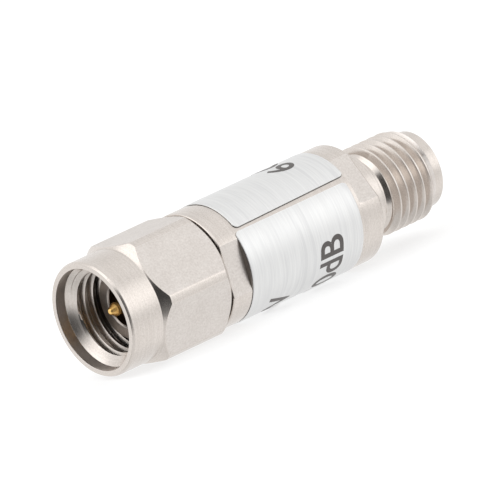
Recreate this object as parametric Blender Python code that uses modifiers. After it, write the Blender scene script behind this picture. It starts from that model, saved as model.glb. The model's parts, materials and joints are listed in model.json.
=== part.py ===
"""Coaxial fixed attenuator, male coupling nut at one end and female thread at the other.

It lies on its side as it comes to rest, with its axis along +X from the male end to the
female end, one flat of the coupling nut facing down, and its lowest point at z = 0.
Every size below is in millimetres. A station is a distance along the axis from the front
face of the coupling nut.
"""
import math

import bmesh
import bpy
from mathutils import Matrix

MM = 0.001

# Facets round a full turn
STEEL_STEPS = 48
CORE_STEPS = 24
LABEL_STEPS = 36

# Fits between pieces
SEAM = 0.03
PUSH_FIT = 0.02
RUNNING_FIT = 0.06
EDGE_BREAK = 0.06

# Coaxial line that the signal travels in
LINE_BORE = 2.92
CORE_DIAMETER = 1.27
PIN_DIAMETER = 0.914

# Coupling threads, drawn as plain rings one pitch apart
THREAD_PITCH = 25.4 / 36
THREAD_FLANK_ANGLE = 30.0
THREAD_CREST_WIDTH = 0.08
NUT_THREAD_CREST_WIDTH = 0.20

# Coupling nut
NUT_LENGTH = 8.50
NUT_ACROSS_FLATS = 8.00
NUT_CORNER_DIAMETER = 8.94
NUT_COLLAR_DIAMETER = 7.84
NUT_COLLAR_LENGTH = 2.60
NUT_FRONT_CONE = 0.60
NUT_REAR_CONE = 0.47
NUT_REAR_DIAMETER = 7.94
NUT_RIM_BEVEL_LENGTH = 0.16
NUT_RIM_BEVEL_DEPTH = 0.10
COUNTERBORE_DIAMETER = 6.96
COUNTERBORE_DEPTH = 0.78
NUT_LEAD_IN_LENGTH = 0.44
NUT_THREAD_MAJOR = 6.36
NUT_THREAD_MINOR = 5.66
THREAD_RELIEF_DEPTH = 0.12
RELIEF_LEAD = 0.40
NUT_BODY_GAP = 0.18

# Male connector shell
MALE_FACE_RECESS = 2.70
NOSE_DIAMETER = 4.59
NOSE_LENGTH = 2.60
BORE_BEVEL = 0.10
JOURNAL_DIAMETER = 6.00
FLANGE_DIAMETER = 8.20
FLANGE_ACROSS_FLATS = 7.38
MALE_FLANGE_LENGTH = 1.52
SPIGOT_DIAMETER = 6.76
SPIGOT_LENGTH = 2.47

# Snap ring that holds the nut on the shell
RING_SETBACK = 1.15
RING_THICKNESS = 0.40
RING_RADIAL_WIDTH = 0.73
RING_SIDE_PLAY = 0.03
RING_RADIAL_PLAY = 0.05
RING_SHELL_GROOVE_DEPTH = 0.45
RING_SPLIT_WIDTH = 1.60

# Housing tube and its wrapped label
HOUSING_DIAMETER = 8.12
HOUSING_LENGTH = 10.07
LABEL_MARGIN = 0.15
LABEL_THICKNESS = 0.06
LABEL_GLUE = 0.025
LABEL_CORNER_RADIUS = 0.35
LABEL_GAP_AT_MALE_END = 0.25
LABEL_GAP_AT_FEMALE_END = 0.45

# Female connector shell
FEMALE_FLANGE_LENGTH = 1.66
FEMALE_FLANGE_BEVEL = 0.12
NECK_LENGTH = 1.04
THREAD_DIAMETER = 6.27
THREAD_ROOT_DIAMETER = 5.40
UNDERCUT_LENGTH = 0.92
UNDERCUT_DIAMETER = 5.04
THREAD_RUN_IN = 0.13
THREAD_LENGTH = 3.58
THREAD_END_BEVEL = 0.42
PILOT_DIAMETER = 5.30
PILOT_LENGTH = 0.68
FEMALE_RECESS_DIAMETER = 4.62
FEMALE_RECESS_DEPTH = 1.90

# Support beads, their sleeves and the centre conductors
BEAD_DIAMETER = 4.00
BEAD_THICKNESS = 1.20
BEAD_SETBACK = 2.95
STUB_DIAMETER = 0.86
STUB_LENGTH = 1.55
SOCKET_SPARE_DEPTH = 0.10
PIN_PROTRUSION = 1.20
PIN_TIP_LENGTH = 0.45
PIN_TIP_DIAMETER = 0.24
CONTACT_RECESS = 0.05
CONTACT_BORE_PLAY = 0.03
CONTACT_BORE_DEPTH = 2.60
CONTACT_SLOT_WIDTH = 0.14
CONTACT_SLOT_LENGTH = 2.20

# Attenuator card and the halves of its carrier
CARRIER_DIAMETER = 6.00
CHANNEL_WIDTH = 1.90
CHANNEL_HEIGHT = 1.60
CHIP_WIDTH = 2.60
CHIP_THICKNESS = 0.25
CHIP_SETBACK = 0.09
CHIP_GRIP = 0.80
GRIP_SLOT_SPARE = 0.20
SPRING_ROOM = 0.12
SPRING_THICKNESS = 0.05
SPRING_WAVE_HEIGHT = 0.03
SPRING_WAVES = 4
SPRING_END_MARGIN = 0.25
WASHER_HEIGHT = 0.25
WASHER_THICKNESS = 0.12
WASHER_BORE = 3.40

# Directions round the axis, in degrees from straight up towards -Y
NUT_CORNER_ANGLE = 30.0
MALE_FLAT_ANGLE = 91.8
FEMALE_FLAT_ANGLE = 59.3
LABEL_EDGE_ANGLE = 60.2
RING_SPLIT_ANGLE = 200.0

# Stations worked out from the sizes above
shoulder = MALE_FACE_RECESS + NOSE_LENGTH
ring_front = shoulder + RING_SETBACK
ring_back = ring_front + RING_THICKNESS
male_flange_front = NUT_LENGTH + NUT_BODY_GAP
male_flange_back = male_flange_front + MALE_FLANGE_LENGTH
housing_front = male_flange_back + SEAM
housing_back = housing_front + HOUSING_LENGTH
female_flange_front = housing_back + SEAM
female_flange_back = female_flange_front + FEMALE_FLANGE_LENGTH
neck_end = female_flange_back + NECK_LENGTH
thread_start = neck_end + UNDERCUT_LENGTH
thread_end = thread_start + THREAD_LENGTH
pilot_start = thread_end + THREAD_END_BEVEL
female_end = pilot_start + PILOT_LENGTH
female_face = female_end - FEMALE_RECESS_DEPTH
male_spigot_end = male_flange_back + SPIGOT_LENGTH
female_spigot_end = female_flange_front - SPIGOT_LENGTH
male_bead_front = MALE_FACE_RECESS + BEAD_SETBACK
male_bead_back = male_bead_front + BEAD_THICKNESS
female_bead_front = female_face - BEAD_SETBACK
female_bead_back = female_bead_front - BEAD_THICKNESS
carrier_front = male_spigot_end + SEAM
carrier_back = female_spigot_end - WASHER_HEIGHT - 2 * SEAM
chip_front = carrier_front + CHIP_SETBACK
chip_back = carrier_back - CHIP_SETBACK

# Radii worked out from the sizes above
journal_radius = JOURNAL_DIAMETER / 2
ring_groove_radius = journal_radius - RING_SHELL_GROOVE_DEPTH
ring_inner_radius = ring_groove_radius + RING_RADIAL_PLAY
ring_outer_radius = ring_inner_radius + RING_RADIAL_WIDTH
bead_seat_radius = BEAD_DIAMETER / 2 + PUSH_FIT
housing_radius = HOUSING_DIAMETER / 2
label_inner_radius = housing_radius + LABEL_GLUE
label_outer_radius = label_inner_radius + LABEL_THICKNESS
axis_height = max(label_outer_radius * math.cos(math.pi / LABEL_STEPS), NUT_ACROSS_FLATS / 2)


def clear_scene():
    for old in list(bpy.data.objects):
        bpy.data.objects.remove(old)


def new_collection(name):
    collection = bpy.data.collections.new(name)
    bpy.context.scene.collection.children.link(collection)
    return collection


def finish(name, colour, metallic, roughness):
    material = bpy.data.materials.new(name)
    material.use_nodes = True
    shader = material.node_tree.nodes["Principled BSDF"]
    shader.inputs["Base Color"].default_value = (*colour, 1.0)
    shader.inputs["Metallic"].default_value = metallic
    shader.inputs["Roughness"].default_value = roughness
    material.diffuse_color = (*colour, 1.0)
    return material


def add_object(name, data, collection, material=None):
    """A new object in the frame of the axis: its own Z is the station along the axis."""
    piece = bpy.data.objects.new(name, data)
    collection.objects.link(piece)
    piece.parent = axis_frame
    if material:
        data.materials.append(material)
    return piece


def local_angle(direction):
    """Angle in the frame of the axis of a direction given from straight up towards -Y."""
    return math.radians(direction + 180.0)


def turned(name, outer, inner, steps, material):
    """A turned piece. Both runs are (station, radius) from the male to the female end.

    Without an inner run the outer run starts and ends on the axis.
    """
    run = list(reversed(outer)) + list(inner)
    points = [(radius * MM, 0.0, station * MM) for station, radius in run]
    edges = [(i, i + 1) for i in range(len(points) - 1)]
    if inner:
        edges.append((len(points) - 1, 0))
    mesh = bpy.data.meshes.new(name)
    mesh.from_pydata(points, edges, [])
    piece = add_object(name, mesh, part_pieces, material)
    piece.rotation_euler.z = math.pi / steps
    screw = piece.modifiers.new("turn", "SCREW")
    screw.axis = "Z"
    screw.angle = 2 * math.pi
    screw.steps = steps
    screw.render_steps = steps
    screw.use_merge_vertices = True
    screw.merge_threshold = 1e-7
    screw.use_smooth_shade = False
    return piece


def as_cutter(piece):
    piece.hide_render = True
    piece.display_type = "WIRE"
    return piece


def box_cutter(name, size, centre, direction):
    """A box whose X points along the given direction and whose Z runs along the axis."""
    mesh = bpy.data.meshes.new(name)
    form = bmesh.new()
    scale = Matrix.Diagonal((*[length * MM for length in size], 1.0))
    place = Matrix.Translation([distance * MM for distance in centre])
    bmesh.ops.create_cube(form, size=1.0, matrix=place @ scale)
    form.to_mesh(mesh)
    form.free()
    piece = as_cutter(add_object(name, mesh, cutters))
    piece.rotation_euler.z = local_angle(direction)
    return piece


def cut(piece, cutter, operation="DIFFERENCE"):
    boolean = piece.modifiers.new(cutter.name, "BOOLEAN")
    boolean.operation = operation
    boolean.solver = "EXACT"
    boolean.object = cutter


def flat_outline(name, outline, thickness, collection, material=None):
    """A closed flat outline, given thickness on both sides of its plane."""
    curve = bpy.data.curves.new(name, "CURVE")
    curve.dimensions = "2D"
    curve.fill_mode = "BOTH"
    curve.extrude = thickness * MM / 2
    spline = curve.splines.new("POLY")
    spline.points.add(len(outline) - 1)
    for point, (x, y) in zip(spline.points, outline):
        point.co = (x * MM, y * MM, 0.0, 1.0)
    spline.use_cyclic_u = True
    return add_object(name, curve, collection, material)


def as_mesh(piece):
    """The same piece as a mesh with its caps joined, so that it can cut another."""
    bpy.context.view_layer.update()
    seen = piece.evaluated_get(bpy.context.evaluated_depsgraph_get())
    mesh = bpy.data.meshes.new_from_object(seen)
    form = bmesh.new()
    form.from_mesh(mesh)
    bmesh.ops.remove_doubles(form, verts=form.verts, dist=1e-7)
    bmesh.ops.recalc_face_normals(form, faces=form.faces)
    form.to_mesh(mesh)
    form.free()
    name = piece.name
    collection = piece.users_collection[0]
    placed = piece.matrix_basis.copy()
    bpy.data.objects.remove(piece)
    piece = add_object(name, mesh, collection)
    piece.matrix_basis = placed
    return piece


def arc(centre, radius, start, end, count):
    """Points of an arc, the angles in degrees."""
    points = []
    for i in range(count + 1):
        angle = math.radians(start + (end - start) * i / count)
        points.append((centre[0] + radius * math.cos(angle), centre[1] + radius * math.sin(angle)))
    return points


def wrench_flats(piece, start, end, direction):
    """Two opposed flats across a flange, from its start to its end station."""
    depth = FLANGE_DIAMETER
    over = SEAM / 2
    for side in (1, -1):
        size = (depth, 2 * FLANGE_DIAMETER, end - start + 2 * over)
        centre = (side * (FLANGE_ACROSS_FLATS + depth) / 2, 0.0, (start + end) / 2)
        name = f"{piece.name}_flat_{'near' if side > 0 else 'far'}"
        cut(piece, box_cutter(name, size, centre, direction))


def thread_ridges(first_foot, limit, root, crest, crest_width):
    """Ridges of a thread as plain rings. Each has its whole width before the limit."""
    flank = abs(crest - root) * math.tan(math.radians(THREAD_FLANK_ANGLE))
    width = 2 * flank + crest_width
    run = []
    foot = first_foot
    while foot + width < limit:
        run += [(foot, root), (foot + flank, crest)]
        run += [(foot + flank + crest_width, crest), (foot + width, root)]
        foot += THREAD_PITCH
    return run


def build_coupling_nut():
    """Nut: turned outside and inside, then the hexagon is milled, leaving conical corners."""
    corner = NUT_CORNER_DIAMETER / 2
    collar = NUT_COLLAR_DIAMETER / 2
    hex_front = NUT_COLLAR_LENGTH + NUT_FRONT_CONE
    outer = [
        (0.0, collar - NUT_RIM_BEVEL_DEPTH),
        (NUT_RIM_BEVEL_LENGTH, collar),
        (NUT_COLLAR_LENGTH, collar),
        (hex_front, corner),
        (NUT_LENGTH - NUT_REAR_CONE, corner),
        (NUT_LENGTH, NUT_REAR_DIAMETER / 2),
    ]
    minor = NUT_THREAD_MINOR / 2
    major = NUT_THREAD_MAJOR / 2
    flank = (major - minor) * math.tan(math.radians(THREAD_FLANK_ANGLE))
    lead_end = COUNTERBORE_DEPTH + NUT_LEAD_IN_LENGTH
    first_foot = lead_end + THREAD_PITCH - NUT_THREAD_CREST_WIDTH / 2 - flank
    relief_radius = major + THREAD_RELIEF_DEPTH
    relief_start = shoulder - RELIEF_LEAD
    bore = journal_radius + RUNNING_FIT
    groove_radius = ring_outer_radius + RING_RADIAL_PLAY
    relief_end = ring_front - RING_SIDE_PLAY - (relief_radius - bore)
    thread_stop = relief_start - THREAD_RELIEF_DEPTH
    inner = [
        (0.0, COUNTERBORE_DIAMETER / 2),
        (COUNTERBORE_DEPTH, COUNTERBORE_DIAMETER / 2),
        (lead_end, minor),
        (lead_end + NUT_THREAD_CREST_WIDTH / 2, minor),
        (lead_end + NUT_THREAD_CREST_WIDTH / 2 + flank, major),
    ]
    inner += thread_ridges(first_foot, thread_stop, major, minor, NUT_THREAD_CREST_WIDTH)
    inner += [
        (thread_stop, major),
        (relief_start, relief_radius),
        (relief_end - (relief_radius - bore), relief_radius),
        (relief_end, bore),
        (ring_front - RING_SIDE_PLAY, bore),
        (ring_front - RING_SIDE_PLAY, groove_radius),
        (ring_back + RING_SIDE_PLAY, groove_radius),
        (ring_back + RING_SIDE_PLAY, bore),
        (NUT_LENGTH, bore),
    ]
    nut = turned("coupling_nut", outer, inner, STEEL_STEPS, steel)
    mesh = bpy.data.meshes.new("nut_hexagon")
    form = bmesh.new()
    hex_radius = NUT_ACROSS_FLATS / 2 / math.cos(math.pi / 6) * MM
    bmesh.ops.create_cone(form, cap_ends=True, segments=6, radius1=hex_radius,
                          radius2=hex_radius, depth=3 * NUT_LENGTH * MM)
    form.verts.ensure_lookup_table()
    first_corner = math.atan2(form.verts[0].co.y, form.verts[0].co.x)
    form.to_mesh(mesh)
    form.free()
    hexagon = as_cutter(add_object("nut_hexagon", mesh, cutters))
    hexagon.location.z = NUT_LENGTH / 2 * MM
    hexagon.rotation_euler.z = local_angle(NUT_CORNER_ANGLE) - first_corner
    cut(nut, hexagon, "INTERSECT")
    return nut


def build_retaining_ring():
    """Split snap ring, half in the shell's groove and half in the nut's."""
    outer = [(ring_front, ring_outer_radius), (ring_back, ring_outer_radius)]
    inner = [(ring_front, ring_inner_radius), (ring_back, ring_inner_radius)]
    ring = turned("nut_retaining_ring", outer, inner, STEEL_STEPS, bronze)
    size = (2 * ring_outer_radius, RING_SPLIT_WIDTH, 3 * RING_THICKNESS)
    centre = (ring_outer_radius, 0.0, (ring_front + ring_back) / 2)
    cut(ring, box_cutter("ring_split", size, centre, RING_SPLIT_ANGLE))
    return ring


def build_male_shell():
    """Outer conductor of the male end: nose, journal for the nut, flange and spigot."""
    nose = NOSE_DIAMETER / 2
    flange = FLANGE_DIAMETER / 2
    spigot = SPIGOT_DIAMETER / 2
    outer = [
        (MALE_FACE_RECESS, nose - EDGE_BREAK),
        (MALE_FACE_RECESS + EDGE_BREAK, nose),
        (shoulder, nose),
        (shoulder, journal_radius - EDGE_BREAK),
        (shoulder + EDGE_BREAK, journal_radius),
        (ring_front - RING_SIDE_PLAY, journal_radius),
        (ring_front - RING_SIDE_PLAY, ring_groove_radius),
        (ring_back + RING_SIDE_PLAY, ring_groove_radius),
        (ring_back + RING_SIDE_PLAY, journal_radius),
        (male_flange_front, journal_radius),
        (male_flange_front, flange - EDGE_BREAK),
        (male_flange_front + EDGE_BREAK, flange),
        (male_flange_back - EDGE_BREAK, flange),
        (male_flange_back, flange - EDGE_BREAK),
        (male_flange_back, spigot),
        (male_spigot_end - EDGE_BREAK, spigot),
        (male_spigot_end, spigot - EDGE_BREAK),
    ]
    inner = [
        (MALE_FACE_RECESS, LINE_BORE / 2 + BORE_BEVEL),
        (MALE_FACE_RECESS + BORE_BEVEL, LINE_BORE / 2),
        (male_bead_front - SEAM, LINE_BORE / 2),
        (male_bead_front - SEAM, bead_seat_radius),
        (male_spigot_end, bead_seat_radius),
    ]
    shell = turned("male_shell", outer, inner, STEEL_STEPS, steel)
    wrench_flats(shell, male_flange_front, male_flange_back, MALE_FLAT_ANGLE)
    return shell


def build_female_shell():
    """Outer conductor of the female end: spigot, flange, neck, threaded barrel and pilot."""
    flange = FLANGE_DIAMETER / 2
    spigot = SPIGOT_DIAMETER / 2
    thread = THREAD_DIAMETER / 2
    root = THREAD_ROOT_DIAMETER / 2
    pilot = PILOT_DIAMETER / 2
    recess = FEMALE_RECESS_DIAMETER / 2
    undercut = UNDERCUT_DIAMETER / 2
    bevel_slope = THREAD_END_BEVEL / (thread - pilot)
    bevel_at_root = pilot_start - (root - pilot) * bevel_slope
    first_foot = thread_start + THREAD_RUN_IN
    outer = [
        (female_spigot_end, spigot - EDGE_BREAK),
        (female_spigot_end + EDGE_BREAK, spigot),
        (female_flange_front, spigot),
        (female_flange_front, flange - EDGE_BREAK),
        (female_flange_front + EDGE_BREAK, flange),
        (female_flange_back - FEMALE_FLANGE_BEVEL, flange),
        (female_flange_back, flange - FEMALE_FLANGE_BEVEL),
        (female_flange_back, thread),
        (neck_end - EDGE_BREAK, thread),
        (neck_end, thread - EDGE_BREAK),
        (neck_end, undercut),
        (thread_start - (root - undercut), undercut),
        (thread_start, root),
    ]
    outer += thread_ridges(first_foot, bevel_at_root, root, thread, THREAD_CREST_WIDTH)
    outer += [
        (bevel_at_root, root),
        (pilot_start, pilot),
        (female_end - EDGE_BREAK, pilot),
        (female_end, pilot - EDGE_BREAK),
    ]
    inner = [
        (female_spigot_end, bead_seat_radius),
        (female_bead_front + SEAM, bead_seat_radius),
        (female_bead_front + SEAM, LINE_BORE / 2),
        (female_face, LINE_BORE / 2),
        (female_face, recess),
        (female_end - BORE_BEVEL, recess),
        (female_end, recess + BORE_BEVEL),
    ]
    shell = turned("female_shell", outer, inner, STEEL_STEPS, steel)
    wrench_flats(shell, female_flange_front, female_flange_back, FEMALE_FLAT_ANGLE)
    return shell


def build_housing():
    """Tube that joins the two shells and holds the carrier in the middle of its bore."""
    seat = SPIGOT_DIAMETER / 2 + PUSH_FIT
    cavity = CARRIER_DIAMETER / 2 + PUSH_FIT
    outer = [
        (housing_front, housing_radius - EDGE_BREAK),
        (housing_front + EDGE_BREAK, housing_radius),
        (housing_back - EDGE_BREAK, housing_radius),
        (housing_back, housing_radius - EDGE_BREAK),
    ]
    inner = [
        (housing_front, seat),
        (male_spigot_end + SEAM, seat),
        (male_spigot_end + SEAM, cavity),
        (female_spigot_end - SEAM, cavity),
        (female_spigot_end - SEAM, seat),
        (housing_back, seat),
    ]
    return turned("housing", outer, inner, STEEL_STEPS, steel)


def build_label():
    """Thin foil wrapped round the housing. Its ends leave a narrow strip bare."""
    start = housing_front + LABEL_MARGIN
    end = housing_back - LABEL_MARGIN
    outer = [(start, label_outer_radius), (end, label_outer_radius)]
    inner = [(start, label_inner_radius), (end, label_inner_radius)]
    label = turned("label", outer, inner, LABEL_STEPS, foil)
    radius = LABEL_CORNER_RADIUS
    past = 2 * LABEL_CORNER_RADIUS
    male_gap = LABEL_GAP_AT_MALE_END
    female_gap = LABEL_GAP_AT_FEMALE_END
    outline = [(radius, start - past)]
    outline += arc((radius, start + radius), radius, 270, 180, 4)
    outline += arc((radius, end - radius), radius, 180, 90, 4)
    outline += [(radius, end + past), (-female_gap - radius, end + past)]
    outline += arc((-female_gap - radius, end - radius), radius, 90, 0, 4)
    outline += arc((-male_gap - radius, start + radius), radius, 0, -90, 4)
    outline += [(-male_gap - radius, start - past)]
    gap = as_cutter(flat_outline("label_gap", outline, label_outer_radius, cutters))
    edge = local_angle(LABEL_EDGE_ANGLE)
    gap.rotation_euler = (math.pi / 2, 0.0, edge + math.pi / 2)
    reach = label_outer_radius * MM
    gap.location = (reach * math.cos(edge), reach * math.sin(edge), 0.0)
    cut(label, as_cutter(as_mesh(gap)))
    return label


def build_bead(name, first, last):
    """Disc that holds a centre conductor in the middle of the line."""
    outer = [(first, BEAD_DIAMETER / 2), (last, BEAD_DIAMETER / 2)]
    inner = [(first, STUB_DIAMETER / 2 + PUSH_FIT), (last, STUB_DIAMETER / 2 + PUSH_FIT)]
    return turned(name, outer, inner, STEEL_STEPS, bead_plastic)


def build_sleeve(name, first, last):
    """Sleeve that presses a bead against its seat and carries the line on inwards."""
    outer = [(first, BEAD_DIAMETER / 2), (last, BEAD_DIAMETER / 2)]
    inner = [(first, LINE_BORE / 2), (last, LINE_BORE / 2)]
    return turned(name, outer, inner, STEEL_STEPS, brass)


def build_male_pin():
    """Pin of the male end: tapered tip, shank, line diameter and the stub in the bead."""
    shank = PIN_DIAMETER / 2
    core = CORE_DIAMETER / 2
    tip = MALE_FACE_RECESS - PIN_PROTRUSION
    outer = [
        (tip, 0.0),
        (tip, PIN_TIP_DIAMETER / 2),
        (tip + PIN_TIP_LENGTH, shank),
        (MALE_FACE_RECESS, shank),
        (MALE_FACE_RECESS, core - EDGE_BREAK),
        (MALE_FACE_RECESS + EDGE_BREAK, core),
        (male_bead_front - SEAM, core),
        (male_bead_front - SEAM, STUB_DIAMETER / 2),
        (male_bead_back + STUB_LENGTH, STUB_DIAMETER / 2),
        (male_bead_back + STUB_LENGTH, 0.0),
    ]
    return turned("male_pin", outer, [], CORE_STEPS, gold)


def build_female_contact():
    """Four sprung fingers round a bore that takes the mating pin, on a stub like the pin's."""
    core = CORE_DIAMETER / 2
    mouth = female_face - CONTACT_RECESS
    bore = PIN_DIAMETER / 2 + CONTACT_BORE_PLAY
    outer = [
        (female_bead_back - STUB_LENGTH, 0.0),
        (female_bead_back - STUB_LENGTH, STUB_DIAMETER / 2),
        (female_bead_front + SEAM, STUB_DIAMETER / 2),
        (female_bead_front + SEAM, core),
        (mouth - EDGE_BREAK, core),
        (mouth, core - EDGE_BREAK),
        (mouth, bore),
        (mouth - CONTACT_BORE_DEPTH, bore),
        (mouth - CONTACT_BORE_DEPTH, 0.0),
    ]
    contact = turned("female_contact", outer, [], CORE_STEPS, gold)
    for number, direction in enumerate((0.0, 90.0)):
        length = 2 * CONTACT_SLOT_LENGTH
        size = (2 * CORE_DIAMETER, CONTACT_SLOT_WIDTH, length)
        cut(contact, box_cutter(f"finger_slot_{number}", size, (0.0, 0.0, mouth), direction))
    return contact


def build_inner_contact(name, bead_side, stub_end, chip_edge, inwards):
    """Rod from a bead to the card: a socket for the stub, and a slot that grips the card.

    inwards is 1 where the card lies towards the female end and -1 where it lies the other way.
    """
    core = CORE_DIAMETER / 2
    socket = STUB_DIAMETER / 2 + PUSH_FIT
    socket_end = stub_end + inwards * SOCKET_SPARE_DEPTH
    start = bead_side + inwards * SEAM
    end = chip_edge + inwards * CHIP_GRIP
    run = [
        (socket_end, 0.0),
        (socket_end, socket),
        (start, socket),
        (start, core),
        (end - inwards * EDGE_BREAK, core),
        (end, core - EDGE_BREAK),
        (end, 0.0),
    ]
    if inwards < 0:
        run.reverse()
    rod = turned(name, run, [], CORE_STEPS, gold)
    slot_length = 2 * (CHIP_GRIP + GRIP_SLOT_SPARE)
    size = (CHIP_THICKNESS + 2 * PUSH_FIT, 2 * CORE_DIAMETER, slot_length)
    cut(rod, box_cutter(f"{name}_slot", size, (0.0, 0.0, end), 0.0))
    return rod


def section_bar(name, outline, start, end, material):
    """A bar of constant section. The outline is given as (towards +Y, upwards)."""
    local = [(-up, across) for across, up in outline]
    bar = flat_outline(name, local, end - start, part_pieces, material)
    bar.location.z = (start + end) / 2 * MM
    return bar


def build_chip():
    """Ceramic card with the resistive film, in the middle plane of the line."""
    half = CHIP_WIDTH / 2
    thick = CHIP_THICKNESS / 2
    outline = [(-half, -thick), (half, -thick), (half, thick), (-half, thick)]
    return section_bar("attenuator_chip", outline, chip_front, chip_back, ceramic)


def build_carrier(name, side, pocket_depth):
    """Half of the ground block round the card: half a disc with a channel and a pocket."""
    radius = CARRIER_DIAMETER / 2
    split = SEAM / 2
    pocket = CHIP_WIDTH / 2 + PUSH_FIT
    rise = math.degrees(math.asin(split / radius))
    outline = arc((0.0, 0.0), radius, rise, 180 - rise, STEEL_STEPS // 2)
    outline += [(-pocket, split), (-pocket, pocket_depth), (-CHANNEL_WIDTH / 2, pocket_depth)]
    outline += [(-CHANNEL_WIDTH / 2, CHANNEL_HEIGHT / 2), (CHANNEL_WIDTH / 2, CHANNEL_HEIGHT / 2)]
    outline += [(CHANNEL_WIDTH / 2, pocket_depth), (pocket, pocket_depth), (pocket, split)]
    outline = [(across, side * up) for across, up in outline]
    return section_bar(name, outline, carrier_front, carrier_back, brass)


def build_ground_spring(name, side):
    """Waved leaf that presses one ground edge of the card down on the lower carrier."""
    start = chip_front + CHIP_GRIP + SPRING_END_MARGIN
    end = chip_back - CHIP_GRIP - SPRING_END_MARGIN
    base = CHIP_THICKNESS / 2 + PUSH_FIT
    count = 8 * SPRING_WAVES
    lower = []
    for i in range(count + 1):
        wave = 0.5 - 0.5 * math.cos(2 * math.pi * SPRING_WAVES * i / count)
        lower.append((start + (end - start) * i / count, base + SPRING_WAVE_HEIGHT * wave))
    upper = [(station, up + SPRING_THICKNESS) for station, up in reversed(lower)]
    inner_edge = CHANNEL_WIDTH / 2 + PUSH_FIT
    outer_edge = CHIP_WIDTH / 2 - PUSH_FIT
    leaf = flat_outline(name, lower + upper, outer_edge - inner_edge, part_pieces, bronze)
    turn = Matrix(((0.0, -1.0, 0.0), (0.0, 0.0, -1.0), (1.0, 0.0, 0.0))).to_4x4()
    offset = side * (inner_edge + outer_edge) / 2 * MM
    leaf.matrix_basis = Matrix.Translation((0.0, offset, 0.0)) @ turn
    return leaf


def build_preload_washer():
    """Dished washer that keeps the carrier pressed against the male shell."""
    rim = CARRIER_DIAMETER / 2
    bore = WASHER_BORE / 2
    start = carrier_back + SEAM
    end = start + WASHER_HEIGHT
    outer = [(start, rim), (start + WASHER_THICKNESS, rim)]
    inner = [(end - WASHER_THICKNESS, bore), (end, bore)]
    return turned("preload_washer", outer, inner, STEEL_STEPS, bronze)


clear_scene()
part_pieces = new_collection("coaxial_attenuator")
cutters = new_collection("cutters")

axis_frame = bpy.data.objects.new("axis_frame", None)
part_pieces.objects.link(axis_frame)
axis_frame.location = (-female_end / 2 * MM, 0.0, axis_height * MM)
axis_frame.rotation_euler = (0.0, math.pi / 2, 0.0)

steel = finish("passivated_stainless_steel", (0.62, 0.59, 0.56), 1.0, 0.32)
foil = finish("brushed_foil", (0.80, 0.81, 0.81), 0.9, 0.30)
gold = finish("gold_plate", (0.90, 0.62, 0.20), 1.0, 0.25)
brass = finish("plated_brass", (0.78, 0.70, 0.50), 1.0, 0.30)
bronze = finish("phosphor_bronze", (0.66, 0.42, 0.26), 1.0, 0.35)
bead_plastic = finish("amber_bead_plastic", (0.62, 0.33, 0.10), 0.0, 0.40)
ceramic = finish("alumina_ceramic", (0.86, 0.86, 0.83), 0.0, 0.55)

build_coupling_nut()
build_retaining_ring()
build_male_shell()
build_male_pin()
build_bead("male_support_bead", male_bead_front, male_bead_back)
build_sleeve("male_bead_sleeve", male_bead_back + SEAM, male_spigot_end)
build_inner_contact("male_inner_contact", male_bead_back, male_bead_back + STUB_LENGTH,
                    chip_front, 1)
build_housing()
build_label()
build_carrier("chip_carrier_upper", 1, CHIP_THICKNESS / 2 + SPRING_ROOM)
build_carrier("chip_carrier_lower", -1, CHIP_THICKNESS / 2 + PUSH_FIT)
build_chip()
build_ground_spring("ground_spring_left", -1)
build_ground_spring("ground_spring_right", 1)
build_preload_washer()
build_inner_contact("female_inner_contact", female_bead_back, female_bead_back - STUB_LENGTH,
                    chip_back, -1)
build_sleeve("female_bead_sleeve", female_spigot_end, female_bead_back - SEAM)
build_bead("female_support_bead", female_bead_back, female_bead_front)
build_female_contact()
build_female_shell()
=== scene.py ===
# %% [markdown]
# A coaxial attenuator sits between two cables and makes the signal weaker on its way. This
# one is turned from stainless steel: a nut and a pin at the male end, a body wrapped in a
# thin foil label, and a threaded barrel at the female end. The measured solids come first,
# because every finer piece below is drawn round them.

# %% Load the measured part
import json
import math

import bmesh
import bpy
import numpy as np
from mathutils import Matrix, Vector


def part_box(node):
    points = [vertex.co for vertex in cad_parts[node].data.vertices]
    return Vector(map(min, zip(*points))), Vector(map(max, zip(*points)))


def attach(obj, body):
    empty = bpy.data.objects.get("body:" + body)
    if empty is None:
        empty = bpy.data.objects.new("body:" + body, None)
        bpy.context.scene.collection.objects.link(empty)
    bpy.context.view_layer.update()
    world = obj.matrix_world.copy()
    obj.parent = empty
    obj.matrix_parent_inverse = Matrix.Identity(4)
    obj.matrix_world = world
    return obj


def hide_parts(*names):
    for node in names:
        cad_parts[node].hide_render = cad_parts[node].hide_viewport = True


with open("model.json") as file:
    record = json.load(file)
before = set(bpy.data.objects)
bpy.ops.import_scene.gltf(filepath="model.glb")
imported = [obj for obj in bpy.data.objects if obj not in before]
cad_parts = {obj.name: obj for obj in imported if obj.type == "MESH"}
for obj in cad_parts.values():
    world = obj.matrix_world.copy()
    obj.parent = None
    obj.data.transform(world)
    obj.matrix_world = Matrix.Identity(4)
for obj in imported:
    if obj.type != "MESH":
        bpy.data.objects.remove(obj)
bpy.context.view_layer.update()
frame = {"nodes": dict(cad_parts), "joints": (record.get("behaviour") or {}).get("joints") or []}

# %% [markdown]
# The part lies along X. A distance along its axis, from the front face of the nut, is called
# a station, and a direction round the axis is an angle from straight up towards -Y. Both are
# easier to think in than X, Y and Z, so one function turns them into a point.

# %% Stations and directions
MM = 0.001
NUT_FRONT_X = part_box("coupling_nut")[0].x
AXIS_Z = frame["joints"][0]["pos_m"][2]


def point_at(station, radius, direction):
    """The point at a station and a radius in mm and a direction in radians, in metres."""
    x = NUT_FRONT_X + np.asarray(station) * MM
    y = -np.asarray(radius) * MM * np.sin(direction)
    z = AXIS_Z + np.asarray(radius) * MM * np.cos(direction)
    return np.stack(np.broadcast_arrays(x, y, z), axis=-1)


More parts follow.
